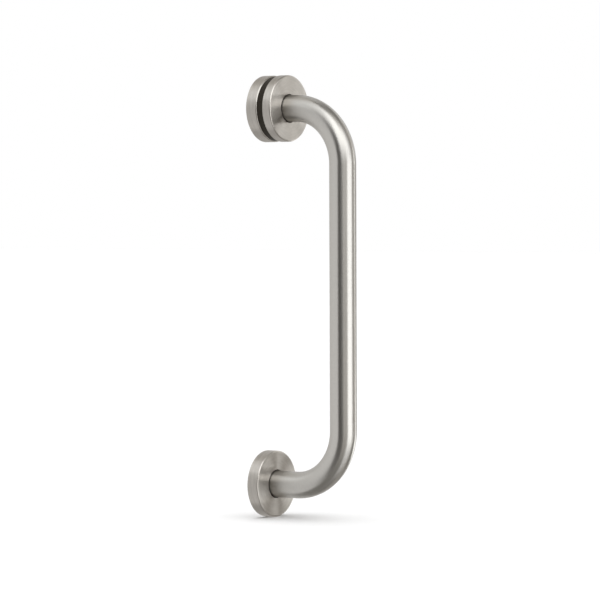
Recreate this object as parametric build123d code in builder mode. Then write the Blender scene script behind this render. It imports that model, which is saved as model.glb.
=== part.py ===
from build123d import *
import math
import os

# Grab bar: a bent steel tube on round roses, fixed from behind by screws into its threaded ends.
# The wall is the plane X = 0. +X points away from it, towards the grip, and +Z points up along the grip.
# The origin lies on the wall, midway between the two fixing centres. Sizes are in millimetres.

# Bar
fixing_centres = 300.0            # between the axes of the two arms
tube_diameter = 21.3
tube_wall = 2.0
bend_radius = 45.0                # at the tube's axis
arm_past_roses = 6.5              # straight tube between the front rose and the upper bend

# Threaded end plugs
plug_shoulder = 2.5               # closes the tube end flush with the wall
plug_spigot_clearance = 0.05      # around the spigot in the tube
plug_spigot_chamfer = 1.0
plug_end_wall = 3.0               # solid steel past the hole's point
fixing_core_diameter = 6.8        # M8 thread, at its core
fixing_hole_depth = 17.0          # from the wall to the end of the full bore
drill_point_angle = 118.0         # included angle at the hole's point, in degrees

# Roses
rose_diameter = 53.0
rose_front_chamfer = 0.7
wall_rose_thickness = 10.0
wall_rose_web = 4.5               # solid front part, relieved behind
wall_rose_rim = 3.0               # width of the land that meets the wall
front_rose_thickness = 7.5

# Rubber rings
packing_thickness = 6.0           # between the two upper roses
packing_setback = 0.8             # below the roses' rims
packing_bore_clearance = 0.5      # around the tube
grip_ring_wall = 0.8              # lines a rose's bore and grips the tube
grip_ring_setback = 0.6           # from the rose's face, and from the back of its web

tube_radius = tube_diameter / 2
tube_bore_radius = tube_radius - tube_wall
rose_radius = rose_diameter / 2
rose_bore_radius = tube_radius + grip_ring_wall
front_rose_back = wall_rose_thickness + packing_thickness
arm_straight = front_rose_back + front_rose_thickness + arm_past_roses
grip_standoff = arm_straight + bend_radius
upper_arm = fixing_centres / 2
lower_arm = -fixing_centres / 2


def across_arm(distance, arm_height):
    """The plane square to an arm at this distance from the wall, facing away from the wall."""
    return Plane(origin=(distance, 0, arm_height), x_dir=(0, 1, 0), z_dir=(1, 0, 0))


def along_arm(arm_height):
    """The upright plane through an arm's axis: its x runs out along the arm, its y is the radius."""
    return Plane(origin=(0, 0, arm_height), x_dir=(1, 0, 0), z_dir=(0, -1, 0))


def arm_axis(arm_height):
    return Axis((0, 0, arm_height), (1, 0, 0))


def end_plug(arm_height):
    """A turned plug: a shoulder on the tube's end, a spigot inside it and a blind hole open to the wall."""
    core_radius = fixing_core_diameter / 2
    hole_point = fixing_hole_depth + core_radius / math.tan(math.radians(drill_point_angle / 2))
    with BuildPart() as plug:
        with BuildSketch(across_arm(0, arm_height)):
            Circle(tube_radius)
        extrude(amount=plug_shoulder)
        with BuildSketch(across_arm(0, arm_height)):
            Circle(tube_bore_radius - plug_spigot_clearance)
        extrude(amount=hole_point + plug_end_wall)
        spigot_end = plug.faces().sort_by(Axis.X)[-1].edges()
        chamfer(spigot_end, plug_spigot_chamfer)
        with BuildSketch(along_arm(arm_height)):
            with BuildLine():
                Polyline(
                    (0, 0),
                    (0, core_radius),
                    (fixing_hole_depth, core_radius),
                    (hole_point, 0),
                    close=True,
                )
            make_face()
        revolve(axis=arm_axis(arm_height), mode=Mode.SUBTRACT)
    return plug


def turned_rose(arm_height, back, thickness, web):
    """A turned disc with a chamfered front rim, relieved behind its web and bored for the lined tube."""
    relief = thickness - web
    with BuildPart() as rose:
        with BuildSketch(across_arm(back, arm_height)):
            Circle(rose_radius)
        extrude(amount=thickness)
        front_rim = rose.faces().sort_by(Axis.X)[-1].edges()
        chamfer(front_rim, rose_front_chamfer)
        with BuildSketch(across_arm(back, arm_height)):
            Circle(rose_bore_radius)
        extrude(amount=thickness, mode=Mode.SUBTRACT)
        if relief > 0:
            with BuildSketch(across_arm(back, arm_height)):
                Circle(rose_radius - wall_rose_rim)
            extrude(amount=relief, mode=Mode.SUBTRACT)
    return rose


def grip_ring(arm_height, back, thickness, web):
    """The rubber sleeve between a rose's bore and the tube, a little shorter than the web."""
    ring_back = back + thickness - web + grip_ring_setback
    with BuildPart() as ring:
        with BuildSketch(across_arm(ring_back, arm_height)):
            Circle(rose_bore_radius)
            Circle(tube_radius, mode=Mode.SUBTRACT)
        extrude(amount=web - 2 * grip_ring_setback)
    return ring


# One tube from plug to plug: an arm, a bend, the grip, a bend and the other arm.
with BuildPart() as bar_tube:
    with BuildLine(Plane.XZ) as bar_path:
        FilletPolyline(
            (plug_shoulder, upper_arm),
            (grip_standoff, upper_arm),
            (grip_standoff, lower_arm),
            (plug_shoulder, lower_arm),
            radius=bend_radius,
        )
    with BuildSketch(across_arm(plug_shoulder, upper_arm)):
        Circle(tube_radius)
        Circle(tube_bore_radius, mode=Mode.SUBTRACT)
    sweep(path=bar_path.wire())

# A black ring fills the space between the two upper roses, a little below their rims.
with BuildPart() as upper_packing_ring:
    with BuildSketch(across_arm(wall_rose_thickness, upper_arm)):
        Circle(rose_radius - packing_setback)
        Circle(tube_radius + packing_bore_clearance, mode=Mode.SUBTRACT)
    extrude(amount=packing_thickness)

# Both arms end in a plug and carry a rose that rests on the wall. The upper arm has a second, solid rose.
roses = {
    "upper_wall_rose": (upper_arm, 0, wall_rose_thickness, wall_rose_web),
    "upper_front_rose": (upper_arm, front_rose_back, front_rose_thickness, front_rose_thickness),
    "lower_wall_rose": (lower_arm, 0, wall_rose_thickness, wall_rose_web),
}
pieces = {
    "bar_tube": bar_tube,
    "upper_end_plug": end_plug(upper_arm),
    "lower_end_plug": end_plug(lower_arm),
    "upper_packing_ring": upper_packing_ring,
}
for name, sizes in roses.items():
    pieces[name] = turned_rose(*sizes)
    pieces[name + "_grip_ring"] = grip_ring(*sizes)

os.makedirs("parts", exist_ok=True)
for name, piece in pieces.items():
    piece.part.label = name
    export_step(piece.part, "parts/" + name + ".step")
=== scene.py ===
import math

import bmesh
import bpy
import numpy as np
from mathutils import Matrix, Vector


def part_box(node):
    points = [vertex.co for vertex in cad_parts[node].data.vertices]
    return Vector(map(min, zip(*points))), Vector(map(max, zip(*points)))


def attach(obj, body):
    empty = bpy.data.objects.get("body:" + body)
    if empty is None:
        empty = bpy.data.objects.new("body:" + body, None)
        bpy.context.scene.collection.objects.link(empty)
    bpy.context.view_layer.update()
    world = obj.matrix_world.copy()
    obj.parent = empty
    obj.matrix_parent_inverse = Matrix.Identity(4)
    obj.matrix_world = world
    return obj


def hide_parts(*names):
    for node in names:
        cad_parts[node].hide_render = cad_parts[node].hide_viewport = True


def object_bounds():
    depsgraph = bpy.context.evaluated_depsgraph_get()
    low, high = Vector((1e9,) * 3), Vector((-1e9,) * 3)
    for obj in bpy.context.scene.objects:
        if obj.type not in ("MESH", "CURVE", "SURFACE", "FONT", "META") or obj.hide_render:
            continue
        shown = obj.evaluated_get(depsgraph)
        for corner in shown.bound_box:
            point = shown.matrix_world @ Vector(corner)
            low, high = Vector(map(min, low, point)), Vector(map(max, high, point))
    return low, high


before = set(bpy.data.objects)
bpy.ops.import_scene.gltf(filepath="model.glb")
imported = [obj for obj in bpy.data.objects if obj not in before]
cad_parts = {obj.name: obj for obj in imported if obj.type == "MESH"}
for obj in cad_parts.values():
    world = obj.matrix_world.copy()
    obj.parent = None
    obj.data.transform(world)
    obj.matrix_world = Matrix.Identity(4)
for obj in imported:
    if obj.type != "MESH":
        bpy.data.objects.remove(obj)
cad_box = [list(corner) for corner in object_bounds()]

# Bar: one length of stainless tube, bent cold to a D and then ground on a belt, which leaves a satin grain
# round its girth. Its ends slide over the plugs' spigots and are welded to their shoulders.
mm = 0.001
tube_low, tube_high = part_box("bar_tube")
tube_radius = tube_high.y
tube_wall = 2.0 * mm
bend_radius = 45.0 * mm
grip_x = tube_high.x - tube_radius
arm_z = tube_high.z - tube_radius
tube_end_x = tube_low.x
arm_length = grip_x - bend_radius - tube_end_x
bend_length = bend_radius * math.pi / 2
grip_length = 2 * (arm_z - bend_radius)
arm_rows = 7
bend_rows = 49
grip_rows = 33
bar_turns = 144
crease_angle = math.radians(35)
pole_merge = 1e-7
bar_colour = (0.470, 0.455, 0.428)
steel_edge_tint = (0.72, 0.71, 0.70, 1.0)
band_widths = 4.0
roughness_swing = 0.02
grain_bump = 0.25


def bar_centre_line(travel):
    """Points (x, z) and heading at distances along the bar from its upper end. It runs out along an arm,
    turns a quarter circle of bend_radius, runs down the grip, turns again and runs back. The heading is the
    sum of the two turns so far, 0 along +X and a half turn along -X."""
    runs = np.cumsum([0, arm_length, bend_length, grip_length, bend_length])
    lengths = np.array([arm_length, bend_length, grip_length, bend_length, arm_length])
    arm, turn, grip, second_turn, back = np.clip(travel[None, :] - runs[:, None], 0, lengths[:, None])
    angle, second_angle = turn / bend_radius, second_turn / bend_radius
    x = tube_end_x + arm + bend_radius * (np.sin(angle) - 1 + np.cos(second_angle)) - back
    z = arm_z - bend_radius * (1 - np.cos(angle) + np.sin(second_angle)) - grip
    return x, z, angle + second_angle


def around_bar(travel, radius, turns):
    """Grid of points at a radius from the centre line: centre + radius * (cos a * outwards + sin a * Y),
    where outwards lies in the plane of the D, square to the heading."""
    x, z, heading = bar_centre_line(travel)
    angle = np.arange(turns) * 2 * math.pi / turns
    out, side = radius[:, None] * np.cos(angle), radius[:, None] * np.sin(angle)
    return np.stack([
        x[:, None] + out * np.sin(heading)[:, None],
        side,
        z[:, None] + out * np.cos(heading)[:, None],
    ], axis=-1)


def skin(name, points, closed=True):
    """Mesh of quads over a grid of points, round each row and from row to row, back to the first row if
    closed. Otherwise the end rows are poles, and their points are merged. The UV map holds the share of the
    way along the rows (u) and the share of the turn (v)."""
    rows, turns = points.shape[:2]
    strips = rows if closed else rows - 1
    row, turn = np.meshgrid(np.arange(strips), np.arange(turns), indexing="ij")
    next_row, next_turn = (row + 1) % rows, (turn + 1) % turns
    faces = np.stack([
        row * turns + turn, next_row * turns + turn,
        next_row * turns + next_turn, row * turns + next_turn,
    ], axis=-1)
    steps = np.linalg.norm(np.diff(points[:, 0], axis=0, append=points[:1, 0]), axis=1)[:strips]
    along = np.concatenate([[0], np.cumsum(steps)]) / steps.sum()
    u = np.stack([along[row], along[row + 1], along[row + 1], along[row]], axis=-1)
    v = np.stack([turn, turn, turn + 1, turn + 1], axis=-1) / turns
    mesh = bpy.data.meshes.new(name)
    mesh.from_pydata(points.reshape(-1, 3).tolist(), [], faces.reshape(-1, 4).tolist())
    mesh.uv_layers.new(name="finish").data.foreach_set("uv", np.stack([u, v], axis=-1).ravel())
    if not closed:
        poles = bmesh.new()
        poles.from_mesh(mesh)
        bmesh.ops.remove_doubles(poles, verts=poles.verts, dist=pole_merge)
        poles.to_mesh(mesh)
        poles.free()
    mesh.shade_smooth()
    mesh.set_sharp_from_angle(angle=crease_angle)
    piece = bpy.data.objects.new(name, mesh)
    bpy.context.scene.collection.objects.link(piece)
    return piece, float(steps.sum())


def add_node(tree, kind, settings=None, **inputs):
    """A node with its settings, and with each named input set to a value or linked from a socket. An input
    is named by its label, or by an underscore and its number."""
    made = tree.nodes.new(kind)
    for key, value in (settings or {}).items():
        setattr(made, key, value)
    for key, value in inputs.items():
        place = int(key[1:]) if key[0] == "_" else key.replace("_", " ")
        if isinstance(value, bpy.types.NodeSocket):
            tree.links.new(value, made.inputs[place])
        else:
            made.inputs[place].default_value = value
    return made


def math_node(tree, operation, first, second=0.0):
    """The result of one operation on two numbers or sockets."""
    return add_node(tree, "ShaderNodeMath", {"operation": operation}, _0=first, _1=second).outputs[0]


def colour_mix(tree, share, first, second):
    """The colour between two, by a share from 0 to 1."""
    ends = {"_6": (*first, 1.0), "_7": (*second, 1.0)}
    return add_node(tree, "ShaderNodeMix", {"data_type": "RGBA"}, _0=share, **ends).outputs[2]


def girth_grain_group():
    """Node group for lines that run round a piece. The map's u times Travel is the distance across the
    lines in metres, and v goes once round. Noise is stretched round a circle, so that the lines meet at the
    seam. Lines are one Line Width wide, and Bands are a few."""
    group = bpy.data.node_groups.new("girth_grain", "ShaderNodeTree")
    sockets = group.interface.new_socket
    sockets("Map", in_out="INPUT", socket_type="NodeSocketVector")
    sockets("Travel", in_out="INPUT", socket_type="NodeSocketFloat")
    sockets("Line Width", in_out="INPUT", socket_type="NodeSocketFloat")
    sockets("Lines Round", in_out="INPUT", socket_type="NodeSocketFloat")
    sockets("Lines", in_out="OUTPUT", socket_type="NodeSocketFloat")
    sockets("Bands", in_out="OUTPUT", socket_type="NodeSocketFloat")
    given = group.nodes.new("NodeGroupInput").outputs
    shares = add_node(group, "ShaderNodeSeparateXYZ", _0=given["Map"]).outputs
    across = math_node(group, "MULTIPLY", shares[0], given["Travel"])
    angle = math_node(group, "MULTIPLY", shares[1], 2 * math.pi)
    ring_y = math_node(group, "MULTIPLY", math_node(group, "COSINE", angle), given["Lines Round"])
    ring_z = math_node(group, "MULTIPLY", math_node(group, "SINE", angle), given["Lines Round"])
    result = group.nodes.new("NodeGroupOutput").inputs
    for output, widths in (("Lines", 1.0), ("Bands", band_widths)):
        width = math_node(group, "MULTIPLY", given["Line Width"], widths)
        lines = math_node(group, "DIVIDE", across, width)
        place = add_node(group, "ShaderNodeCombineXYZ", _0=lines, _1=ring_y, _2=ring_z).outputs[0]
        noise = add_node(group, "ShaderNodeTexNoise", Vector=place, Scale=1.0, Detail=3.0, Roughness=0.6)
        group.links.new(noise.outputs[0], result[output])
    return group


girth_grain = girth_grain_group()


def steel(name, travel, colour, roughness, stretch, line_width, lines_round, line_depth, tone_swing):
    """Bare steel with a grain of fine lines round the piece. Bands of lines vary the tone by tone_swing, and
    the lines vary the roughness and stand up by line_depth. Highlights stretch across them, along the map's
    u."""
    material = bpy.data.materials.new(name)
    material.use_nodes = True
    tree = material.node_tree
    shader = tree.nodes["Principled BSDF"]
    finish = add_node(tree, "ShaderNodeUVMap", {"uv_map": "finish"}).outputs[0]
    grain = add_node(tree, "ShaderNodeGroup", {"node_tree": girth_grain}, Map=finish, Travel=travel,
                     Line_Width=line_width, Lines_Round=lines_round).outputs
    darker = [(1 - tone_swing) * channel for channel in colour]
    lighter = [(1 + tone_swing) * channel for channel in colour]
    tone = colour_mix(tree, grain["Bands"], darker, lighter)
    tree.links.new(tone, shader.inputs["Base Color"])
    rough = add_node(tree, "ShaderNodeMapRange", Value=grain["Lines"], To_Min=roughness - roughness_swing,
                     To_Max=roughness + roughness_swing).outputs[0]
    tree.links.new(rough, shader.inputs["Roughness"])
    bump = add_node(tree, "ShaderNodeBump", Strength=grain_bump, Distance=line_depth, Height=grain["Lines"])
    tree.links.new(bump.outputs[0], shader.inputs["Normal"])
    tangent = add_node(tree, "ShaderNodeTangent", {"direction_type": "UV_MAP", "uv_map": "finish"})
    tree.links.new(tangent.outputs[0], shader.inputs["Tangent"])
    shader.inputs["Metallic"].default_value = 1.0
    shader.inputs["Anisotropic"].default_value = stretch
    shader.inputs["Specular Tint"].default_value = steel_edge_tint
    return material


def dress(piece, material, slot, *nodes):
    """The piece stands for its CAD nodes, moves with the object and takes a finish."""
    piece.data.materials.append(material)
    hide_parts(*nodes)
    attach(piece, "root")


arm_steps = np.linspace(0, arm_length, arm_rows)
bend_steps = np.linspace(0, bend_length, bend_rows)
grip_steps = np.linspace(0, grip_length, grip_rows)
bar_travel = np.unique(np.round(np.concatenate([
    arm_steps,
    arm_length + bend_steps,
    arm_length + bend_length + grip_steps,
    arm_length + bend_length + grip_length + bend_steps,
    arm_length + 2 * bend_length + grip_length + arm_steps,
]), decimals=9))
wall_travel = np.concatenate([bar_travel, bar_travel[::-1]])
wall_radius = np.repeat([tube_radius, tube_radius - tube_wall], len(bar_travel))
bar, bar_skin_length = skin("satin_bar", around_bar(wall_travel, wall_radius, bar_turns))
bar_steel = steel("satin_bar_steel", bar_skin_length, bar_colour, roughness=0.31, stretch=0.7,
                  line_width=0.45 * mm, lines_round=3.0, line_depth=0.004 * mm, tone_swing=0.06)
dress(bar, bar_steel, "tube_steel", "bar_tube")

# Roses: discs turned from stainless bar, the two wall roses relieved behind, with the front edge rounded and
# the satin rings of the lathe left on face and rim. They slide on the tube, and each is held by a
# rubber ring in its bore.
rose_names = ("upper_wall_rose", "upper_front_rose", "lower_wall_rose")
rose_colour = (0.475, 0.448, 0.413)
rose_front_edge = 1.2 * mm
rose_edge = 0.12 * mm
edge_steps = 8
guard_points = 2
corner_points = edge_steps + 1 + guard_points
wall_rose_web = 4.5 * mm
wall_rose_rim = 3.0 * mm
grip_ring_wall = 0.8 * mm
rose_turns = 256


def rounded_outline(corners, radius):
    """Closed outline through corners (x, r), each rounded by an arc, with one radius for all or one each.
    With w the arc's turn, p(k) = centre + (sin((1 - k) w) * start + sin(k w) * end) / sin(w), for k from 0
    to 1. A guard point beside each end of an arc keeps the shading of the flat next to it true."""
    corners = np.asarray(corners, float)
    radius = np.broadcast_to(radius, len(corners))[:, None]
    back = np.roll(corners, 1, axis=0) - corners
    ahead = np.roll(corners, -1, axis=0) - corners
    back /= np.linalg.norm(back, axis=1, keepdims=True)
    ahead /= np.linalg.norm(ahead, axis=1, keepdims=True)
    half = np.arccos(np.clip((back * ahead).sum(axis=1), -1, 1))[:, None] / 2
    reach = radius / np.tan(half)
    middle = back + ahead
    middle /= np.linalg.norm(middle, axis=1, keepdims=True)
    centre = corners + middle * radius / np.sin(half)
    turn = (math.pi - 2 * half)[:, None]
    share = np.linspace(0, 1, edge_steps + 1)[None, :, None]
    start = (corners + back * reach - centre)[:, None]
    end = (corners + ahead * reach - centre)[:, None]
    swing = (np.sin((1 - share) * turn) * start + np.sin(share * turn) * end) / np.sin(turn)
    arcs = centre[:, None] + swing
    guard = reach + radius / 2
    before, after = (corners + back * guard)[:, None], (corners + ahead * guard)[:, None]
    return np.concatenate([before, arcs, after], axis=1).reshape(-1, 2)


def lathe(outline, axis_z, turns):
    """Grid of points from an outline (x, r) turned about an arm's axis: (x, r sin a, axis_z + r cos a)."""
    angle = np.arange(turns) * 2 * math.pi / turns
    x, radius = outline[:, 0, None], outline[:, 1, None]
    return np.stack([x + 0 * angle, radius * np.sin(angle), axis_z + radius * np.cos(angle)], axis=-1)


def rose_outline(back, front, rim, web):
    """Outline (x, r) of a rose: along the rim, over the rounded front edge, down the face, through the bore
    and out along the back, round the relief if the web is thinner than the rose."""
    bore = tube_radius + grip_ring_wall
    corners = [(back, rim), (front, rim), (front, bore)]
    edges = [rose_edge, rose_front_edge, rose_edge]
    if front - web > back:
        relief = rim - wall_rose_rim
        corners += [(front - web, bore), (front - web, relief), (back, relief)]
    else:
        corners += [(back, bore)]
    edges += [rose_edge] * (len(corners) - len(edges))
    return rounded_outline(corners, edges)


for name in rose_names:
    rose_low, rose_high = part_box(name)
    rose_web = rose_high.x - rose_low.x if name == "upper_front_rose" else wall_rose_web
    outline = rose_outline(rose_low.x, rose_high.x, rose_high.y, rose_web)
    rose_points = lathe(outline, (rose_low.z + rose_high.z) / 2, rose_turns)
    rose, rose_skin_length = skin(name + "_turned", rose_points)
    rose_steel = steel(name + "_steel", rose_skin_length, rose_colour, roughness=0.31, stretch=1.0,
                       line_width=0.35 * mm, lines_round=2.0, line_depth=0.005 * mm, tone_swing=0.22)
    dress(rose, rose_steel, "rose_steel", name)
    edge_steel = steel(name + "_edge_steel", rose_skin_length, rose_colour, roughness=0.28, stretch=0.2,
                       line_width=0.35 * mm, lines_round=2.0, line_depth=0.002 * mm, tone_swing=0.04)
    rose.data.materials.append(edge_steel)
    # The front edge is the outline's second corner. Its arc starts after one guard point.
    edge_start = corner_points + 1
    strip = np.arange(len(outline))
    on_edge = (strip >= edge_start) & (strip < edge_start + edge_steps)
    rose.data.polygons.foreach_set("material_index", np.repeat(on_edge, rose_turns).astype(np.int32))

# Packing ring: a thick washer moulded in black rubber, a little smaller than the roses that it lies between.
# It slides on the tube, and the front rose is pushed up against it. Its black is also painted shade: it
# stands in for the shade deep in the narrow gap between the upper roses.
packing_edge = 0.25 * mm
packing_bore_clearance = 0.5 * mm
rubber_dark = (0.015, 0.012, 0.009)
rubber_light = (0.037, 0.031, 0.022)
rubber_gloss = 0.1
rubber_roughness_swing = 0.08
rubber_bump = 0.3
mottle_per_metre = 1400.0
mottle_depth = 0.05 * mm


def black_rubber(name, roughness):
    """Soft black rubber: a fine mottle from the mould in tone, roughness and bump."""
    material = bpy.data.materials.new(name)
    material.use_nodes = True
    tree = material.node_tree
    shader = tree.nodes["Principled BSDF"]
    place = tree.nodes.new("ShaderNodeTexCoord").outputs["Object"]
    mottle = add_node(tree, "ShaderNodeTexNoise", Vector=place, Scale=mottle_per_metre,
                      Detail=4.0).outputs[0]
    tone = colour_mix(tree, mottle, rubber_dark, rubber_light)
    tree.links.new(tone, shader.inputs["Base Color"])
    rough = add_node(tree, "ShaderNodeMapRange", Value=mottle, To_Min=roughness - rubber_roughness_swing,
                     To_Max=roughness + rubber_roughness_swing).outputs[0]
    tree.links.new(rough, shader.inputs["Roughness"])
    bump = add_node(tree, "ShaderNodeBump", Strength=rubber_bump, Distance=mottle_depth, Height=mottle)
    tree.links.new(bump.outputs[0], shader.inputs["Normal"])
    shader.inputs["Specular IOR Level"].default_value = rubber_gloss
    return material


def ring_points(low, high, bore, edge, turns):
    """A ring with its box's length and diameter and a bore: a rectangle with rounded edges, turned."""
    corners = [(low.x, high.y), (high.x, high.y), (high.x, bore), (low.x, bore)]
    return lathe(rounded_outline(corners, edge), (low.z + high.z) / 2, turns)


packing_bore = tube_radius + packing_bore_clearance
packing_points = ring_points(*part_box("upper_packing_ring"), packing_bore, packing_edge, rose_turns)
packing, _ = skin("packing_washer", packing_points)
# Black rubber whose dark tone also paints the shade in the gap between the upper roses.
packing_rubber = black_rubber("packing_washer_rubber_gap_shade", roughness=0.55)
dress(packing, packing_rubber, "packing_rubber", "upper_packing_ring")

# Grip rings: thin rubber sleeves, one in the bore of each rose, squeezed against the tube. They keep the
# roses where they are pushed, and show as a dark line round the tube.
grip_edge = 0.2 * mm
grip_turns = 128
grip_rubber = black_rubber("grip_ring_rubber", roughness=0.5)
for name in rose_names:
    grip_points = ring_points(*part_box(name + "_grip_ring"), tube_radius, grip_edge, grip_turns)
    grip, _ = skin(name + "_grip_band", grip_points)
    dress(grip, grip_rubber, "grip_rubber", name + "_grip_ring")

# End plugs: turned steel plugs with a shoulder that closes the tube, a spigot inside it and a blind hole
# from the wall side, tapped M8. The fixing screws come through the wall and pull the bar tight.
thread_pitch = 1.25 * mm
thread_depth = 0.6 * mm
thread_core = 3.4 * mm
thread_end = 17.0 * mm
thread_fade = 2 * thread_pitch
thread_flat = 0.15
thread_samples = 10
mouth_chamfer = 0.8 * mm
plug_shoulder = 2.5 * mm
plug_edge = 0.1 * mm
spigot_clearance = 0.05 * mm
spigot_chamfer = 1.0 * mm
drill_half_angle = math.radians(59)
plug_turns = 96


def plug_points(plug_end, axis_z):
    """Outline of a plug turned about its arm: from the drill's point out to the mouth of the hole, over the
    shoulder and the spigot to the end. In the hole the radius is core + depth * ridge, where ridge is a
    triangle wave of x / pitch - a / (2 pi), so that it winds as a helix. Its crests and roots are cut flat,
    and it fades out at the hole's end."""
    angle = np.arange(plug_turns) * 2 * math.pi / plug_turns
    spigot = tube_radius - tube_wall - spigot_clearance
    point_x = thread_end + thread_core / math.tan(drill_half_angle)
    tapped = np.linspace(thread_end, mouth_chamfer, int(thread_end / thread_pitch * thread_samples))
    phase = (tapped[:, None] / thread_pitch - angle / (2 * math.pi)) % 1
    ridge = np.clip((1 + 2 * thread_flat) * np.abs(2 * phase - 1) - thread_flat, 0, 1)
    fade = np.clip((thread_end - tapped) / thread_fade, 0, 1)[:, None]
    hole_radius = thread_core + thread_depth * ridge * fade
    corners = [
        (0, thread_core), (0, tube_radius), (plug_shoulder, tube_radius), (plug_shoulder, spigot),
        (plug_end - spigot_chamfer, spigot), (plug_end, spigot - spigot_chamfer), (plug_end, thread_core),
    ]
    outside = rounded_outline(corners, plug_edge)[corner_points:-corner_points]
    hole = np.stack([tapped, thread_core + 0 * tapped], axis=1)
    mouth = (0, thread_core + thread_depth + mouth_chamfer)
    outline = np.concatenate([[(point_x, 0)], hole, [mouth], outside, [(plug_end, 0)]])
    points = lathe(outline, axis_z, plug_turns)
    hole_rows = slice(1, 1 + len(hole))
    points[hole_rows, :, 1] = hole_radius * np.sin(angle)
    points[hole_rows, :, 2] = axis_z + hole_radius * np.cos(angle)
    return points


for name in ("upper_end_plug", "lower_end_plug"):
    plug_low, plug_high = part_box(name)
    tapped_points = plug_points(plug_high.x, (plug_low.z + plug_high.z) / 2)
    plug, plug_skin_length = skin(name + "_tapped", tapped_points, closed=False)
    plug_steel = steel(name + "_steel", plug_skin_length, bar_colour, roughness=0.33, stretch=0.4,
                       line_width=0.2 * mm, lines_round=2.0, line_depth=0.01 * mm, tone_swing=0.06)
    dress(plug, plug_steel, "plug_steel", name)

# Floor: a plain white sheet that the lower rose stands on, lit to white, which keeps the soft shadow. It is
# left out of the steel's reflections, where the panels of the studio light stand for the table.
floor_z = cad_box[0][2]
floor_reach = 12.0
floor_colour = (0.92, 0.92, 0.92, 1.0)
floor_glow = 0.03


def seen_directly_or_mirrored(tree):
    """1 for camera, glossy and transmitted rays, 0 for the light that falls on things."""
    path = tree.nodes.new("ShaderNodeLightPath").outputs
    either = math_node(tree, "MAXIMUM", path["Is Camera Ray"], path["Is Glossy Ray"])
    return math_node(tree, "MAXIMUM", either, path["Is Transmission Ray"])


floor_corners = [(-1, -1), (1, -1), (1, 1), (-1, 1)]
floor_points = [(x * floor_reach, y * floor_reach, floor_z) for x, y in floor_corners]
floor_mesh = bpy.data.meshes.new("white_floor")
floor_mesh.from_pydata(floor_points, [], [(0, 1, 2, 3)])
floor = bpy.data.objects.new("white_floor", floor_mesh)
bpy.context.scene.collection.objects.link(floor)
floor_material = bpy.data.materials.new("white_sheet")
floor_material.use_nodes = True
floor_tree = floor_material.node_tree
floor_shader = floor_tree.nodes["Principled BSDF"]
floor_shader.inputs["Base Color"].default_value = floor_colour
floor_shader.inputs["Roughness"].default_value = 1.0
floor_shader.inputs["Specular IOR Level"].default_value = 0.0
floor_shader.inputs["Emission Color"].default_value = (1, 1, 1, 1)
floor_light = math_node(floor_tree, "MULTIPLY", seen_directly_or_mirrored(floor_tree), floor_glow)
floor_tree.links.new(floor_light, floor_shader.inputs["Emission Strength"])
floor_mesh.materials.append(floor_material)
floor.visible_glossy = False

# Studio light: a white surround, a broad soft sun straight overhead for the shadow, and panels round the bar
# that show only as reflections in the steel. The panels are cool white lamps and warm grey cards of a few
# levels. Their angles are in degrees, turned from the camera's side to the right and raised from level.
camera_turn = math.radians(35.89)
camera_rise = math.radians(1.69)
surround_light = 0.06
sun_strength = 3.4
sun_width = math.radians(120)
panel_distance = 2.0
panel_rows = 24
lamp_white = (0.975, 0.99, 1.0, 1.0)
card_grey = (1.0, 0.97, 0.92, 1.0)
black_flag = 0.1
dark_card = 0.3
grey_card = 0.57
pale_card = 0.8
dim_lamp = 1.3
softbox = 2.5
bright_strip = 3.6
panels = {
    "front_flag": ((-43, -12), (-36, 34), black_flag),
    "front_flag_edge": ((-12, 0), (-36, 12), black_flag),
    "front_card": ((0, 38), (-36, 12), grey_card),
    "front_table": ((-43, 38), (-60, -36), dark_card),
    "front_softbox": ((-12, 66), (20, 50), softbox),
    "front_softbox_top": ((-12, 42), (50, 74), softbox),
    "front_corner": ((42, 84), (50, 74), pale_card),
    "left_softbox": ((-102, -58), (27, 48), dim_lamp),
    "left_top_softbox": ((-90, -12), (50, 90), dim_lamp),
    "left_ceiling": ((-180, -90), (48, 90), pale_card),
    "side_softbox": ((39, 80), (-24, 12), softbox),
    "side_tall_lamp": ((66, 84), (12, 45), dim_lamp),
    "side_card": ((84, 108), (-12, 45), grey_card),
    "side_low_card": ((84, 96), (-45, -18), grey_card),
    "side_lamp": ((84, 96), (-18, -12), softbox),
    "right_low_card": ((96, 120), (-45, -12), dark_card),
    "right_card": ((108, 120), (-12, 0), pale_card),
    "right_softbox": ((108, 120), (0, 18), softbox),
    "right_high_card": ((108, 132), (18, 45), pale_card),
    "right_strip": ((120, 132), (-24, -6), bright_strip),
    "right_strip_top": ((120, 132), (-6, 18), pale_card),
    "right_ceiling": ((84, 156), (45, 75), dark_card),
    "right_table": ((72, 180), (-60, -45), grey_card),
    "far_low_card": ((120, 156), (-45, -24), grey_card),
    "far_softbox": ((132, 156), (-24, -12), softbox),
    "far_card": ((132, 156), (-12, 6), grey_card),
    "far_lamp": ((132, 156), (6, 45), dim_lamp),
    "back_ceiling": ((-12, 180), (75, 90), black_flag),
    "table_below": ((-180, 180), (-90, -60), dark_card),
}

world = bpy.data.worlds.new("white_surround")
bpy.context.scene.world = world
world.use_nodes = True
world_tree = world.node_tree
background = world_tree.nodes["Background"]
background.inputs["Color"].default_value = (1, 1, 1, 1)
shown = seen_directly_or_mirrored(world_tree)
world_level = add_node(world_tree, "ShaderNodeMapRange", Value=shown, To_Min=surround_light, To_Max=1.0)
world_tree.links.new(world_level.outputs[0], background.inputs["Strength"])


def studio_direction(turn, rise):
    """Unit vectors at an angle to the right of the camera's side and above level."""
    side = camera_turn + turn
    return np.stack([np.sin(side) * np.cos(rise), -np.cos(side) * np.cos(rise), np.sin(rise)], axis=-1)


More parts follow.
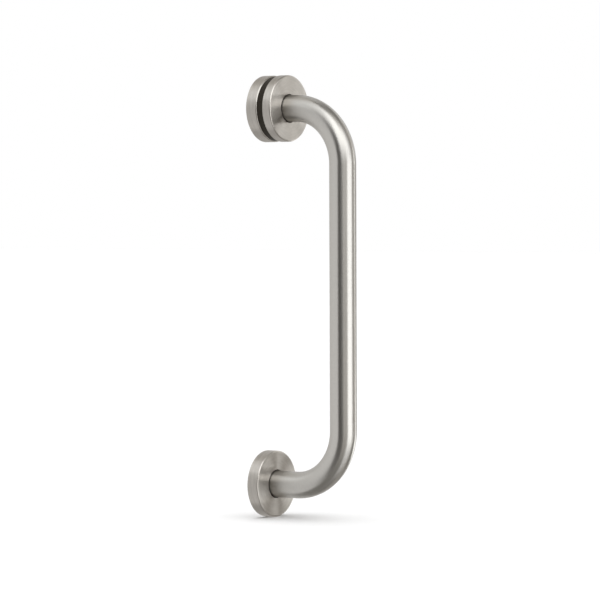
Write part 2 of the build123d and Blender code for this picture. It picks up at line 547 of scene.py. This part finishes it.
def studio_panel(name, turn_range, rise_range, radiance):
    """Patch of a sphere round the object: panel_distance * studio_direction(turn, rise) on a grid. Only
    reflections see it."""
    turn, rise = np.meshgrid(np.radians(np.linspace(*turn_range, panel_rows)),
                             np.radians(np.linspace(*rise_range, panel_rows)), indexing="ij")
    points = panel_distance * studio_direction(turn, rise)
    index = np.arange(panel_rows * panel_rows).reshape(panel_rows, panel_rows)
    faces = np.stack([index[:-1, :-1], index[1:, :-1], index[1:, 1:], index[:-1, 1:]], axis=-1)
    mesh = bpy.data.meshes.new(name)
    mesh.from_pydata(points.reshape(-1, 3).tolist(), [], faces.reshape(-1, 4).tolist())
    panel = bpy.data.objects.new(name, mesh)
    bpy.context.scene.collection.objects.link(panel)
    material = bpy.data.materials.new(name)
    material.use_nodes = True
    shader = material.node_tree.nodes["Principled BSDF"]
    shader.inputs["Base Color"].default_value = (0, 0, 0, 1)
    shader.inputs["Specular IOR Level"].default_value = 0.0
    shader.inputs["Emission Color"].default_value = lamp_white if radiance > pale_card else card_grey
    shader.inputs["Emission Strength"].default_value = radiance
    mesh.materials.append(material)
    panel.visible_camera = False
    panel.visible_diffuse = False
    panel.visible_shadow = False


for name, (turn_range, rise_range, radiance) in panels.items():
    studio_panel(name, turn_range, rise_range, radiance)

sun_data = bpy.data.lights.new("soft_sun", "SUN")
sun_data.energy = sun_strength
sun_data.angle = sun_width
sun = bpy.data.objects.new("soft_sun", sun_data)
sun.visible_glossy = False
bpy.context.scene.collection.objects.link(sun)

# Camera: a long lens, nearly level with the middle of the bar, which sees it from the side of the grip. Its
# place and focal length were fitted to the bar's outline, in pixels of a square image.
image_pixels = 600
focal_pixels = 3004.0
camera_distance = 2.388
camera_target = Vector((0.035, 0.0, 0.0))
target_pixel = (301.9, 297.1)
camera_roll = math.radians(-0.17)
camera_data = bpy.data.cameras.new("camera")
camera_data.lens = camera_data.sensor_width * focal_pixels / image_pixels
camera_data.shift_x = (image_pixels / 2 - target_pixel[0]) / image_pixels
camera_data.shift_y = (target_pixel[1] - image_pixels / 2) / image_pixels
camera = bpy.data.objects.new("camera", camera_data)
towards_camera = Vector(studio_direction(0.0, camera_rise))
camera.location = camera_target + camera_distance * towards_camera
facing = towards_camera.to_track_quat("Z", "Y").to_matrix() @ Matrix.Rotation(camera_roll, 3, "Z")
camera.rotation_mode = "QUATERNION"
camera.rotation_quaternion = facing.to_quaternion()
bpy.context.scene.collection.objects.link(camera)
bpy.context.scene.camera = camera
bpy.context.scene.view_settings.view_transform = "Standard"
